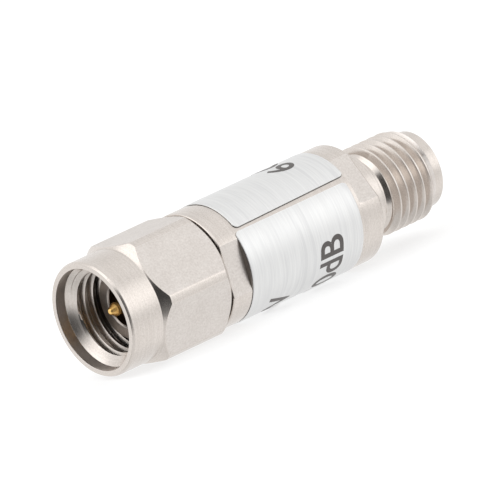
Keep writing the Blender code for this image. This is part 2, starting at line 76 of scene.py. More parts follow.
def stations_of(node):
    """First and last station of a solid, in mm."""
    low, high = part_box(node)
    return (low.x - NUT_FRONT_X) / MM, (high.x - NUT_FRONT_X) / MM


nut_front, nut_rear = stations_of("coupling_nut")
male_face, male_spigot_end = stations_of("male_shell")
housing_front, housing_rear = stations_of("housing")
label_front, label_rear = stations_of("label")
female_spigot_end, female_end = stations_of("female_shell")
print(f"nut {nut_rear:.2f} mm long, whole part {female_end:.2f} mm, axis {AXIS_Z / MM:.2f} mm up")

# %% [markdown]
# Colours are written the way a paint program shows them, as sRGB hex values. The shader
# works in linear light, so one function converts them.

# %% Hex colours
def colour(hex_code):
    """A hex colour as linear red, green, blue and alpha."""
    channels = [int(hex_code[i:i + 2], 16) / 255 for i in (0, 2, 4)]
    linear = [c / 12.92 if c <= 0.04045 else ((c + 0.055) / 1.055) ** 2.4 for c in channels]
    return (*linear, 1.0)


print("mid grey in linear light:", round(colour("808080")[0], 3))

# %% [markdown]
# Every finish is a small tree of nodes. One function adds a node, sets it up and links it,
# so that each material below reads as a list of what it is made of.

# %% Add one node
def add_node(tree, kind, inputs=None, **settings):
    """Adds a node. Inputs maps a socket's name or number to a value or to an output."""
    node = tree.nodes.new(kind)
    for name, value in settings.items():
        setattr(node, name, value)
    for socket, value in (inputs or {}).items():
        if isinstance(value, bpy.types.NodeSocket):
            tree.links.new(value, node.inputs[socket])
        else:
            node.inputs[socket].default_value = value
    return node


def new_material(name):
    """An empty material with a Principled shader, its tree and its place in millimetres."""
    material = bpy.data.materials.new(name)
    material.use_nodes = True
    tree = material.node_tree
    shader = tree.nodes["Principled BSDF"]
    place = add_node(tree, "ShaderNodeTexCoord").outputs["Object"]
    in_mm = add_node(tree, "ShaderNodeVectorMath", {0: place, "Scale": 1 / MM}, operation="SCALE")
    return material, tree, shader, in_mm.outputs[0]


print("materials work in millimetres of the part")

# %% [markdown]
# Passivated stainless steel, turned on a lathe. The tool leaves fine rings round the axis.
# Seen from a step away they blur reflections along the axis more than round it, and up close
# they show as light and dark lines. The rings are noise that is squeezed along X, in two
# layers: a fine one of 0.07 mm, near a real feed of 0.05 mm, and a broader one of 0.17 mm for
# the marks where the tool rubbed. The fine grain that passivation leaves breaks them up. Cuts
# that are made inside look different, so one function makes three steels: turned, a darker one
# for what was bored and a paler, more matte one for what was reamed. The darker colour of the
# bored steel is painted shade for faces that lie in shade. The paler colour of the reamed steel
# is painted light that lifts the shade in recesses. Only their roughness is the cut's own.

# %% Turned stainless steel
RING_SPACING = 0.07
RING_LENGTH = 4.0
RING_SHARE = 0.35
RING_HEIGHT = 0.0007
RUB_SPACING = 0.17
RUB_LENGTH = 2.2
RUB_SHARE = 0.20
GRAIN_SIZE = 0.11
GRAIN_SHARE = 0.45
CLOUD_SIZE = 1.3
CLOUD_DEPTH = 0.04
# Nearly all of a noise lies between these two values
NOISE_LOW = 0.30
NOISE_HIGH = 0.70


def squeezed_noise(tree, mm, along, round_axis, detail):
    """Noise whose grain has one size in mm along the axis and another one round it."""
    place = add_node(tree, "ShaderNodeVectorMath",
                     {0: mm, 1: (1 / along, 1 / round_axis, 1 / round_axis)},
                     operation="MULTIPLY")
    noise = add_node(tree, "ShaderNodeTexNoise",
                     {"Vector": place.outputs[0], "Scale": 1.0, "Detail": detail})
    return noise.outputs["Fac"]


def blend_of(tree, parts):
    """The sum of several values, each with its own share."""
    total = 0.0
    for value, share in parts:
        total = add_node(tree, "ShaderNodeMath", {0: value, 1: share, 2: total},
                         operation="MULTIPLY_ADD").outputs[0]
    return total


def finish_metal(tree, shader, pattern, dark, light, height):
    """Puts a pattern from 0 to 1 into the colour and the bump of a metal."""
    tint = add_node(tree, "ShaderNodeMix", {6: colour(dark), 7: colour(light)},
                    data_type="RGBA")
    spread = add_node(tree, "ShaderNodeMapRange",
                      {"Value": pattern, "From Min": NOISE_LOW, "From Max": NOISE_HIGH})
    tree.links.new(spread.outputs[0], tint.inputs[0])
    bump = add_node(tree, "ShaderNodeBump",
                    {"Height": pattern, "Strength": 1.0, "Distance": height * MM})
    tree.links.new(tint.outputs[2], shader.inputs["Base Color"])
    tree.links.new(bump.outputs[0], shader.inputs["Normal"])
    shader.inputs["Metallic"].default_value = 1.0


def cloud_roughness(tree, shader, cloud, least, most):
    """Lets the roughness drift between two values with a noise."""
    rough = add_node(tree, "ShaderNodeMapRange",
                     {"Value": cloud, "From Min": NOISE_LOW, "From Max": NOISE_HIGH,
                      "To Min": least, "To Max": most})
    tree.links.new(rough.outputs[0], shader.inputs["Roughness"])


def turned_steel(name, dark, light, roughness):
    material, tree, shader, mm = new_material(name)
    rings = squeezed_noise(tree, mm, RING_SPACING, RING_LENGTH, 2.0)
    rubs = squeezed_noise(tree, mm, RUB_SPACING, RUB_LENGTH, 2.0)
    grain = squeezed_noise(tree, mm, GRAIN_SIZE, GRAIN_SIZE, 2.0)
    pattern = blend_of(tree, [(rings, RING_SHARE), (rubs, RUB_SHARE), (grain, GRAIN_SHARE)])
    finish_metal(tree, shader, pattern, dark, light, RING_HEIGHT)
    cloud = squeezed_noise(tree, mm, CLOUD_SIZE, CLOUD_SIZE, 2.0)
    cloud_roughness(tree, shader, cloud, roughness - CLOUD_DEPTH, roughness + CLOUD_DEPTH)
    return material


turned = turned_steel("turned_stainless_steel", "C8C0B9", "DCD5CF", 0.24)
# The bored steel's darker colour is painted shade.
shaded_bored_steel = turned_steel("bored_steel_painted_shade", "8F8882", "B4ACA6", 0.30)
# The reamed steel's paler colour is painted light. Its higher roughness is real.
lit_reamed_steel = turned_steel("reamed_steel_painted_light", "D0C9C3", "E4DEDA", 0.38)
print("made", turned.name, "and", shaded_bored_steel.name, "and", lit_reamed_steel.name)

# %% [markdown]
# The flats of the nut and of the two flanges are milled after the turning. A face mill leaves
# a finer, more even grain without rings, so these faces look matte and speckled. The speckle
# is 0.12 mm, a little coarser than the real grain so that it shows.

# %% Milled stainless steel
SPECKLE_SIZE = 0.12
SPECKLE_SHARE = 0.75
SPECKLE_HEIGHT = 0.0016
PATCH_SIZE = 1.6
MILLED_ROUGHNESS = 0.36


def milled_steel():
    material, tree, shader, mm = new_material("milled_stainless_steel")
    speckle = squeezed_noise(tree, mm, SPECKLE_SIZE, SPECKLE_SIZE, 3.0)
    patches = squeezed_noise(tree, mm, PATCH_SIZE, PATCH_SIZE, 2.0)
    pattern = blend_of(tree, [(speckle, SPECKLE_SHARE), (patches, 1 - SPECKLE_SHARE)])
    finish_metal(tree, shader, pattern, "C7C0BA", "DDD7D2", SPECKLE_HEIGHT)
    shader.inputs["Roughness"].default_value = MILLED_ROUGHNESS
    return material


milled = milled_steel()
print("made", milled.name)

# %% [markdown]
# The label is silvered polyester foil, brushed round the body. Its streaks run round the
# axis like the rings of the steel, but they are lighter, and the foil is a neutral and
# brighter silver. Three noises give fine streaks, broad ones, and a few long scratches, which
# are where the third noise comes near its top.

# %% Brushed silver foil
STREAK_SPACING = 0.08
STREAK_LENGTH = 3.0
STREAK_SHARE = 0.70
STREAK_HEIGHT = 0.0007
BROAD_SPACING = 0.24
BROAD_LENGTH = 2.0
BROAD_SHARE = 0.30
SCRATCH_SPACING = 0.45
SCRATCH_LENGTH = 9.0
SCRATCH_START = 0.60
SCRATCH_FULL = 0.66
SCRATCH_DEPTH = 0.35
SHEEN_SPACING = 0.7
SHEEN_LENGTH = 4.5


def brushed_foil():
    material, tree, shader, mm = new_material("brushed_silver_foil")
    fine = squeezed_noise(tree, mm, STREAK_SPACING, STREAK_LENGTH, 3.0)
    broad = squeezed_noise(tree, mm, BROAD_SPACING, BROAD_LENGTH, 2.0)
    pattern = blend_of(tree, [(fine, STREAK_SHARE), (broad, BROAD_SHARE)])
    scratches = squeezed_noise(tree, mm, SCRATCH_SPACING, SCRATCH_LENGTH, 4.0)
    scratch = add_node(tree, "ShaderNodeMapRange",
                       {"Value": scratches, "From Min": SCRATCH_START, "From Max": SCRATCH_FULL,
                        "To Min": 0.0, "To Max": -SCRATCH_DEPTH})
    pattern = add_node(tree, "ShaderNodeMath", {0: pattern, 1: scratch.outputs[0]},
                       operation="ADD").outputs[0]
    finish_metal(tree, shader, pattern, "DADADA", "E7E7E6", STREAK_HEIGHT)
    sheen = squeezed_noise(tree, mm, SHEEN_SPACING, SHEEN_LENGTH, 2.0)
    cloud_roughness(tree, shader, sheen, 0.42, 0.50)
    return material


foil = brushed_foil()
print("made", foil.name)

# %% [markdown]
# The other finishes are small or half hidden. Gold plate on the contacts is warm and a little
# rough from the turning under it. The support beads are amber engineering plastic. Inside, out
# of sight, are plated brass, phosphor bronze springs and a white alumina card. Each has a faint
# grain of its own, and one function makes them all, because they differ only in colour, gloss
# and grain.

# %% Small finishes
def plain_finish(name, dark, light, metallic, roughness, grain):
    """A finish whose colour drifts between two hex values over a grain in mm."""
    material, tree, shader, mm = new_material(name)
    drift = add_node(tree, "ShaderNodeTexNoise", {"Vector": mm, "Scale": 1 / grain, "Detail": 3.0})
    tint = add_node(tree, "ShaderNodeMix",
                    {0: drift.outputs["Fac"], 6: colour(dark), 7: colour(light)},
                    data_type="RGBA")
    tree.links.new(tint.outputs[2], shader.inputs["Base Color"])
    shader.inputs["Metallic"].default_value = metallic
    shader.inputs["Roughness"].default_value = roughness
    return material


gold = plain_finish("gold_plate", "E2AE5A", "FCDA94", 1.0, 0.24, 0.15)
plated_brass = plain_finish("plated_brass", "C9B98C", "D8CBA4", 1.0, 0.30, 0.4)
bronze = plain_finish("phosphor_bronze", "B07A52", "C48E63", 1.0, 0.32, 0.4)
amber_plastic = plain_finish("amber_bead_plastic", "54402E", "6B5038", 0.0, 0.40, 0.5)
alumina = plain_finish("alumina_ceramic", "DADAD2", "ECECE6", 0.0, 0.55, 0.1)
ink = plain_finish("dark_grey_ink", "484442", "57524F", 0.0, 0.45, 0.1)
# The adhesive's dark grey is painted shadow. It shows only as the line past the foil's far edge.
painted_shadow_adhesive = plain_finish("adhesive_grey_painted_shadow", "5E5A57", "76716D", 0.0, 0.50, 0.2)
print("made", gold.name, plated_brass.name, bronze.name, amber_plastic.name, alumina.name)

# %% [markdown]
# All the visible metal is turned work, so one tool makes it: a cut through the piece, as a
# list of corners, is swept round the axis. A real edge is never perfectly sharp. Each corner
# is replaced by a small curve, which is what catches the light as a thin line, with one more
# point on either side so that the faces beside it stay flat in the shading.

# %% Round the corners of an outline
EDGE = 0.035
ARC_STEPS = 3
HOLD = 1.7
# The most of a side that the rounding at one of its ends may take
SIDE_SHARE = 0.28


def rounded(corners, closed=True):
    """Turns corners (station, radius, rounding) into a run of (station, radius) points."""
    points = []
    count = len(corners)
    for i, (station, radius, size) in enumerate(corners):
        here = np.array((station, radius), float)
        at_end = not closed and i in (0, count - 1)
        if size == 0 or at_end:
            points.append(here)
            continue
        back = np.array(corners[i - 1][:2], float) - here
        on = np.array(corners[(i + 1) % count][:2], float) - here
        back_length = max(np.linalg.norm(back), 1e-9)
        on_length = max(np.linalg.norm(on), 1e-9)
        reach = min(size, SIDE_SHARE * back_length, SIDE_SHARE * on_length)
        start = here + back / back_length * reach
        end = here + on / on_length * reach
        points.append(here + back / back_length * reach * HOLD)
        for k in range(ARC_STEPS + 1):
            t = k / ARC_STEPS
            points.append((1 - t) ** 2 * start + 2 * t * (1 - t) * here + t * t * end)
        points.append(here + on / on_length * reach * HOLD)
    return points


print("a square corner becomes", len(rounded([(0, 0, 0), (1, 0, EDGE), (1, 1, 0)])) - 2, "points")

# %% [markdown]
# The sweep itself joins the same point of neighbouring cuts with faces. The cut may change
# with the direction, which gives hexagons, wrench flats and helical threads without a single
# Boolean. Points that fall together, such as those on the axis, are merged at the end.

# %% Sweep a section round the axis
SWEEP_STEPS = 240
SMALL_STEPS = 96
EDGE_STEPS = (-1.0, -0.6, -0.3, 0.0, 0.3, 0.6, 1.0)
CLOSEST = 0.4
MERGE = 1e-7
CREASE = math.radians(32)


def directions_with(extra=(), steps=SWEEP_STEPS):
    """Directions of the cuts in radians: an even set, and close ones at each extra edge."""
    even = [360 * i / steps for i in range(steps)]
    near = [(edge + step) % 360 for edge in extra for step in EDGE_STEPS]
    kept = [a for a in even if all(abs((a - b + 180) % 360 - 180) > CLOSEST for b in near)]
    ordered = sorted(kept + near)
    return [math.radians(a) for a in ordered + [ordered[0] + 360]]


def sweep(name, section, body, replaced, materials, directions=None, closed=True):
    """A piece swept round the axis. Section gives the points of the cut at a direction."""
    directions = directions or directions_with()
    columns = [point_at(*np.array(section(a)).T, a) for a in directions]
    per_cut = len(columns[0])
    ends = per_cut if closed else per_cut - 1
    faces = []
    for j in range(len(columns) - 1):
        for i in range(ends):
            here = j * per_cut + i
            on = j * per_cut + (i + 1) % per_cut
            faces.append((here, on, on + per_cut, here + per_cut))
    mesh = bpy.data.meshes.new(name)
    mesh.from_pydata(np.concatenate(columns).tolist(), [], faces)
    form = bmesh.new()
    form.from_mesh(mesh)
    bmesh.ops.remove_doubles(form, verts=form.verts, dist=MERGE)
    bmesh.ops.dissolve_degenerate(form, edges=form.edges, dist=MERGE)
    bmesh.ops.recalc_face_normals(form, faces=form.faces)
    form.to_mesh(mesh)
    form.free()
    return finish_piece(name, mesh, body, replaced, materials)


def finish_piece(name, mesh, body, replaced, materials):
    """Shades a mesh, gives it its materials and ties it to the body and solid it stands for."""
    mesh.shade_smooth()
    mesh.set_sharp_from_angle(angle=CREASE)
    piece = bpy.data.objects.new(name, mesh)
    bpy.context.scene.collection.objects.link(piece)
    for material in materials:
        mesh.materials.append(material)
    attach(piece, body)
    if replaced:
        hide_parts(replaced)
    open_edges = sum(1 for count in edge_use(mesh) if count != 2)
    print(name, len(mesh.polygons), "faces,", open_edges, "open edges")
    return piece


def edge_use(mesh):
    """How many faces meet at each edge."""
    uses = np.zeros(len(mesh.edges), int)
    loops = np.zeros(len(mesh.loops), int)
    mesh.loops.foreach_get("edge_index", loops)
    np.add.at(uses, loops, 1)
    return uses


print("sweeps take", SWEEP_STEPS, "cuts a turn")

# %% [markdown]
# Both threads are 1/4 inch with 36 turns to the inch, so the pitch is 0.7056 mm. A thread is
# a ridge that moves on by one pitch in each turn. Its run of points is the same at every
# direction, only shifted, and what passes the ends is folded onto them. A second outline,
# the envelope, cuts the ridges away where a bevel or a lead-in was turned.

# %% Thread ridges
PITCH = 25.4 / 36
FLANK_TAN = math.tan(math.radians(30))
CREST_ROUNDING = 0.018
WIDEST_FOOT = 0.47


def thread_run(first, last, direction, phase, root, crest, crest_share):
    """Points of a thread between two stations, in the order of their stations."""
    height = abs(crest - root)
    half_crest = crest_share * PITCH / 2
    foot = min(half_crest + height * FLANK_TAN, WIDEST_FOOT * PITCH)
    ridge = rounded([(-PITCH / 2, 0, 0), (-foot, 0, CREST_ROUNDING),
                     (-half_crest, height, CREST_ROUNDING), (half_crest, height, CREST_ROUNDING),
                     (foot, 0, CREST_ROUNDING), (PITCH / 2, 0, 0)], closed=False)[:-1]
    turns = math.ceil((last - first) / PITCH) + 3
    shift = PITCH * (direction / (2 * math.pi) + phase - 2)
    stations = np.array([first + shift + k * PITCH + p[0] for k in range(turns) for p in ridge])
    heights = np.array([p[1] for _ in range(turns) for p in ridge])
    inside = np.clip(stations, first, last)
    level = np.interp(inside, stations, heights)
    outward = 1 if crest > root else -1
    return [(s, root + outward * h) for s, h in zip(inside, level)]


print(f"pitch {PITCH:.4f} mm")

# %% [markdown]
# The coupling nut is the largest piece in view. It is turned first: a smooth collar, a cone
# up to the corners, a cone at the back, a counterbore, a lead-in and the thread inside. Then
# six flats are milled, so at each direction the outside is whichever lies lower, the turned
# outline or the flat. The corners that are left are narrow turned strips between cones. The
# edges between flats and strips are broken by a hundredth of a millimetre: that is what makes
# them shine as thin lines.

# %% Coupling nut
HEX_HALF = 4.00
CORNER_RADIUS = 4.47
COLLAR_RADIUS = 3.92
COLLAR_END = 2.60
CONE_END = 3.19
REAR_CONE = 0.47
REAR_RADIUS = 3.97
RIM_BEVEL_LENGTH = 0.16
RIM_BEVEL_DEPTH = 0.10
COUNTERBORE_RADIUS = 3.48
COUNTERBORE_DEPTH = 0.78
LEDGE_END = 1.02
LEAD_IN_END = 1.25
NUT_MINOR = 2.83
NUT_MAJOR = 3.18
NUT_CREST_SHARE = 0.28
NUT_FLATS = [60 * (k + 1) for k in range(6)]
MILLED_EDGE = 0.012
RELIEF_RADIUS = 3.30
RELIEF_START = 4.90
RELIEF_END = 6.18
NUT_BORE = 3.06
RING_FRONT = 6.42
RING_REAR = 6.88
RING_GROOVE_RADIUS = 3.38
NUT_THREAD_PHASE = 0.61


def hexagon_reach(direction):
    """How far the six flats lie from the axis in a direction."""
    from_flat = (math.degrees(direction) - NUT_FLATS[0] + 30) % 60 - 30
    return HEX_HALF / math.cos(math.radians(from_flat))


def nut_reach(direction):
    """The lower of flat and corner strip, with the edge between them broken."""
    flat = hexagon_reach(direction)
    apart = math.hypot(flat - CORNER_RADIUS, 2 * MILLED_EDGE)
    return (flat + CORNER_RADIUS - apart) / 2


def nut_section(direction):
    reach = nut_reach(direction)
    rise = (reach - COLLAR_RADIUS) / (CORNER_RADIUS - COLLAR_RADIUS)
    fall = (reach - REAR_RADIUS) / (CORNER_RADIUS - REAR_RADIUS)
    outside = [
        (nut_front, COLLAR_RADIUS - RIM_BEVEL_DEPTH, EDGE),
        (nut_front + RIM_BEVEL_LENGTH, COLLAR_RADIUS, EDGE),
        (COLLAR_END, COLLAR_RADIUS, EDGE),
        (COLLAR_END + rise * (CONE_END - COLLAR_END), reach, EDGE),
        (nut_rear - fall * REAR_CONE, reach, EDGE),
        (nut_rear, REAR_RADIUS, EDGE),
    ]
    rear_inside = [
        (nut_rear, NUT_BORE, EDGE),
        (RING_REAR, NUT_BORE, 0),
        (RING_REAR, RING_GROOVE_RADIUS, 0),
        (RING_FRONT, RING_GROOVE_RADIUS, 0),
        (RING_FRONT, NUT_BORE, 0),
        (RELIEF_END, NUT_BORE, 0),
        (RELIEF_END - (RELIEF_RADIUS - NUT_BORE), RELIEF_RADIUS, 0),
        (RELIEF_START, RELIEF_RADIUS, 0),
    ]
    thread_end = RELIEF_START - (RELIEF_RADIUS - NUT_MAJOR)
    lead_slope = (NUT_MAJOR - NUT_MINOR) / (LEAD_IN_END - LEDGE_END)
    ridges = thread_run(LEDGE_END, thread_end, direction, NUT_THREAD_PHASE,
                        NUT_MAJOR, NUT_MINOR, NUT_CREST_SHARE)
    relief_side = NUT_MAJOR - thread_end
    thread = [(s, max(r, NUT_MAJOR - lead_slope * (s - LEDGE_END), relief_side + s))
              for s, r in reversed(ridges)]
    front_inside = [
        (LEDGE_END, NUT_MAJOR, EDGE / 2),
        (COUNTERBORE_DEPTH, COUNTERBORE_RADIUS, EDGE / 2),
        (nut_front, COUNTERBORE_RADIUS, EDGE),
    ]
    corners = outside + rear_inside + [(s, r, 0) for s, r in thread] + front_inside
    return rounded(corners)


strip_half = math.degrees(math.acos(HEX_HALF / CORNER_RADIUS))
strip_edges = [flat + side * strip_half for flat in NUT_FLATS for side in (-1, 1)]
nut = sweep("coupling_nut_machined", nut_section, "nut", "coupling_nut",
            [turned, milled, lit_reamed_steel], directions_with(strip_edges))

# %% [markdown]
# The milled faces take the other steel. They are the faces that lie at the distance of the
# flats from the axis, with a normal square to it.

# %% Milled faces
SQUARE_TO = 0.999
FLAT_TOLERANCE = 0.02


def mill_faces(piece, flat_directions, half_flats):
    """Gives the second material to the faces of the flats at the given directions."""
    count = 0
    for face in piece.data.polygons:
        for direction in flat_directions:
            angle = math.radians(direction)
            outward = Vector((0, -math.sin(angle), math.cos(angle)))
            offset = face.center - Vector((0, 0, AXIS_Z))
            flat = face.normal.dot(outward) > SQUARE_TO
            if flat and abs(offset.dot(outward) - half_flats * MM) < FLAT_TOLERANCE * MM:
                face.material_index = 1
                count += 1
    print(piece.name, count, "milled faces")


mill_faces(nut, NUT_FLATS, HEX_HALF)

# %% [markdown]
# A cut that is made inside or against a shoulder leaves another surface than the outside.
# So the wall of the counterbore and the faces on both sides of the gap behind the nut take the
# reamed steel, whose paler colour is painted light in these recesses. The ring face and the bore
# of the male shell will take the bored one, whose darker colour is painted shade. Such faces lie
# nearer the axis than a given radius, between two stations.

# %% Rougher faces, with painted light and shade
GAP_DEPTH = 0.5
JUST_PAST = 0.01


def roughen_with_painted_shading(piece, number, radius, first, last):
    """Gives a material, by its number, to the faces inside a radius between two stations."""
    count = 0
    for face in piece.data.polygons:
        station = (face.center.x - NUT_FRONT_X) / MM
        distance = math.hypot(face.center.y, face.center.z - AXIS_Z) / MM
        if distance < radius and first < station < last:
            face.material_index = number
            count += 1
    print(piece.name, count, "faces of", piece.data.materials[number].name)


# The counterbore wall takes the paler reamed steel, which is painted light in the recess.
roughen_with_painted_shading(nut, 2, COUNTERBORE_RADIUS + JUST_PAST, nut_front + EDGE,
              COUNTERBORE_DEPTH - JUST_PAST)
# The nut's rear face at the gap takes the paler reamed steel, which is painted light in the gap.
roughen_with_painted_shading(nut, 2, REAR_RADIUS - EDGE, nut_rear - GAP_DEPTH, nut_rear + JUST_PAST)

# %% [markdown]
# The male shell is the outer conductor. Its ring face and bevelled bore show inside the nut,
# grey with painted shade, and its flange with two wrench flats shows behind it. It is swept like
# the nut. At the flats the flange is cut down to them.

# %% Male shell
FLANGE_RADIUS = 4.10
FLANGE_HALF_FLATS = 3.69
NOSE_RADIUS = 2.295
NOSE_END = 5.30
JOURNAL_RADIUS = 3.00
LINE_RADIUS = 1.46
BORE_BEVEL = 0.10
BEAD_SEAT_RADIUS = 2.02
MALE_SEAT = 5.62
MALE_FLANGE_FRONT = 8.61
FLANGE_EDGE = 0.13
FLANGE_REAR_EDGE = 0.02
SEAM = 0.003
MALE_FLANGE_REAR = housing_front - SEAM
SPIGOT_RADIUS = 3.38
SHELL_GROOVE_RADIUS = 2.55
MALE_FLAT = 91.8


def flange_reach(direction, flat):
    """Radius of a flange with two opposed flats in a direction."""
    across = abs(math.cos(direction - math.radians(flat)))
    return min(FLANGE_RADIUS, FLANGE_HALF_FLATS / max(across, 1e-6))


def male_section(direction):
    reach = flange_reach(direction, MALE_FLAT)
    return rounded([
        (male_face, NOSE_RADIUS, EDGE),
        (NOSE_END, NOSE_RADIUS, EDGE),
        (NOSE_END, JOURNAL_RADIUS, EDGE),
        (RING_FRONT, JOURNAL_RADIUS, 0),
        (RING_FRONT, SHELL_GROOVE_RADIUS, 0),
        (RING_REAR, SHELL_GROOVE_RADIUS, 0),
        (RING_REAR, JOURNAL_RADIUS, 0),
        (MALE_FLANGE_FRONT, JOURNAL_RADIUS, EDGE),
        (MALE_FLANGE_FRONT, reach, FLANGE_EDGE),
        (MALE_FLANGE_REAR, reach, FLANGE_REAR_EDGE),
        (MALE_FLANGE_REAR, SPIGOT_RADIUS, 0),
        (male_spigot_end, SPIGOT_RADIUS, EDGE),
        (male_spigot_end, BEAD_SEAT_RADIUS, 0),
        (MALE_SEAT, BEAD_SEAT_RADIUS, 0),
        (MALE_SEAT, LINE_RADIUS, 0),
        (male_face + BORE_BEVEL, LINE_RADIUS, EDGE),
        (male_face, LINE_RADIUS + BORE_BEVEL, EDGE),
    ])


flat_half = math.degrees(math.acos(FLANGE_HALF_FLATS / FLANGE_RADIUS))
male_edges = [MALE_FLAT + turn + side * flat_half for turn in (0, 180) for side in (-1, 1)]
male_shell = sweep("male_shell_turned", male_section, "body", "male_shell",
                   [turned, milled, shaded_bored_steel, lit_reamed_steel], directions_with(male_edges))
mill_faces(male_shell, [MALE_FLAT, MALE_FLAT + 180], FLANGE_HALF_FLATS)
# The ring face and the bore take the darker bored steel, which is painted shade inside the nut.
roughen_with_painted_shading(male_shell, 2, NOSE_RADIUS + JUST_PAST, male_face - JUST_PAST, MALE_SEAT)
# The flange's front face at the gap behind the nut takes the paler reamed steel, which is painted
# light in the gap.
roughen_with_painted_shading(male_shell, 3, REAR_RADIUS, nut_rear - GAP_DEPTH, MALE_FLANGE_FRONT + JUST_PAST)

# %% [markdown]
# The centre pin is gold plated. It is 0.914 mm thick with a tapered tip, and behind the ring
# face it widens to the 1.27 mm centre conductor of the line. The bead that holds it is seen
# only as a dark amber shade deep in the bore.

# %% Male pin and its bead
PIN_RADIUS = 0.457
CORE_RADIUS = 0.635
STUB_RADIUS = 0.43
TIP_RADIUS = 0.17
TIP_LENGTH = 0.45
BEAD_RADIUS = 2.00
BEAD_HOLE = 0.45


def pin_section(_direction):
    first, last = stations_of("male_pin")
    bead_front = stations_of("male_support_bead")[0]
    return rounded([
        (first, 0.0, 0),
        (first, TIP_RADIUS, 0.09),
        (first + TIP_LENGTH, PIN_RADIUS, 0.06),
        (male_face, PIN_RADIUS, 0.02),
        (male_face, CORE_RADIUS, 0.05),
        (bead_front, CORE_RADIUS, 0.03),
        (bead_front, STUB_RADIUS, 0),
        (last, STUB_RADIUS, 0.04),
        (last, 0.0, 0),
    ], closed=False)


def bead_section(node):
    first, last = stations_of(node)
    return rounded([(first, BEAD_HOLE, 0.05), (first, BEAD_RADIUS, 0.05),
                    (last, BEAD_RADIUS, 0.05), (last, BEAD_HOLE, 0.05)])


sweep("male_pin_plated", pin_section, "body", "male_pin", [gold],
      directions_with(steps=SMALL_STEPS), closed=False)
sweep("male_bead_moulded", lambda _direction: bead_section("male_support_bead"), "body",
      "male_support_bead", [amber_plastic], directions_with(steps=SMALL_STEPS))

# %% [markdown]
# The housing is a plain steel tube. A strip of it shows where the ends of the label don't
# meet, and a narrow band before and behind the label. Past the flats of the male flange its
# front face shows too, as a dark sickle: it faces the flat beside it, it is a bored face without
# bright rings, and its darker bored steel is painted shade.

# %% Housing
HOUSING_RADIUS = 4.06
HOUSING_BEVEL = 0.015
HOUSING_SEAT = 3.40
CAVITY_RADIUS = 3.02
HOUSING_GAP = 0.03


def housing_section(_direction):
    cavity_start = male_spigot_end + HOUSING_GAP
    cavity_end = female_spigot_end - HOUSING_GAP
    return rounded([
        (housing_front, HOUSING_RADIUS - HOUSING_BEVEL, 0),
        (housing_front + HOUSING_BEVEL, HOUSING_RADIUS, 0),
        (housing_rear, HOUSING_RADIUS, 0),
        (housing_rear, HOUSING_SEAT, 0),
        (cavity_end, HOUSING_SEAT, 0),
        (cavity_end, CAVITY_RADIUS, 0),
        (cavity_start, CAVITY_RADIUS, 0),
        (cavity_start, HOUSING_SEAT, 0),
        (housing_front, HOUSING_SEAT, 0),
    ])


housing = sweep("housing_tube", housing_section, "body", "housing", [turned, shaded_bored_steel])
# The front face takes the darker bored steel, which is painted shade for the sickle.
roughen_with_painted_shading(housing, 1, HOUSING_RADIUS - 0.001, housing_front - JUST_PAST,
              housing_front + JUST_PAST)

# %% [markdown]
# The label is a sheet of foil 0.06 mm thick with rounded corners, wrapped nearly all the way
# round by hand. It sits a little askew: its far end lies 0.28 mm nearer the female end than its
# near end, and its far edge isn't quite parallel to the near one, so the strip between them
# widens. It is built as a flat grid and bent onto the body, and its rows lie closer together at
# the ends, where they follow the round corners and where the blade pressed the edges down. The
# adhesive under it is a second, thinner sheet in dark grey. It creeps out a little past the far
# edge and draws a fine dark line there, which is a painted shadow under the foil's far edge.

# %% Foil label and its adhesive
LABEL_RADIUS = 4.145
LABEL_INSIDE = 4.085
ADHESIVE_INSIDE = 4.0605
ADHESIVE_OUTSIDE = 4.0845
# How far the dark adhesive creeps past the foil's far edge, to paint a shadow line there.
PAINTED_SHADOW_CREEP = 0.045
LABEL_EDGE = 60.2
LABEL_CORNER = 0.35
LABEL_EDGE_WIDTH = 0.05
LABEL_EDGE_DROP = 0.03
LABEL_SKEW = 0.28
GAP_MALE = 0.25
GAP_FEMALE = 0.45
LABEL_COLUMNS = 220
MIDDLE_ROWS = 24
CORNER_STEPS = 6
around = 2 * math.pi * LABEL_RADIUS


def corner_inset(station):
    """How far the rounded corners draw the sheet's edges in at a station."""
    depth = min(station - label_front, label_rear - station)
    if depth >= LABEL_CORNER:
        return 0.0
    return LABEL_CORNER - math.sqrt(max(LABEL_CORNER ** 2 - (LABEL_CORNER - depth) ** 2, 0.0))


def label_rows():
    turns = [math.radians(90 * k / CORNER_STEPS) for k in range(CORNER_STEPS + 1)]
    steps = [LABEL_CORNER * (1 - math.cos(turn)) for turn in turns]
    middle = np.linspace(label_front + LABEL_CORNER, label_rear - LABEL_CORNER, MIDDLE_ROWS)
    front_rows = [label_front + step for step in steps]
    rear_rows = [label_rear - step for step in reversed(steps)]
    return front_rows + list(middle[1:-1]) + rear_rows


def label_row(station, shadow_creep):
    """Distances round the body of the points of one row, from the near edge."""
    share = (station - label_front) / (label_rear - label_front)
    first = corner_inset(station)
    last = around - (GAP_MALE + share * (GAP_FEMALE - GAP_MALE)) - corner_inset(station) + shadow_creep
    return np.linspace(first, last, LABEL_COLUMNS + 1)


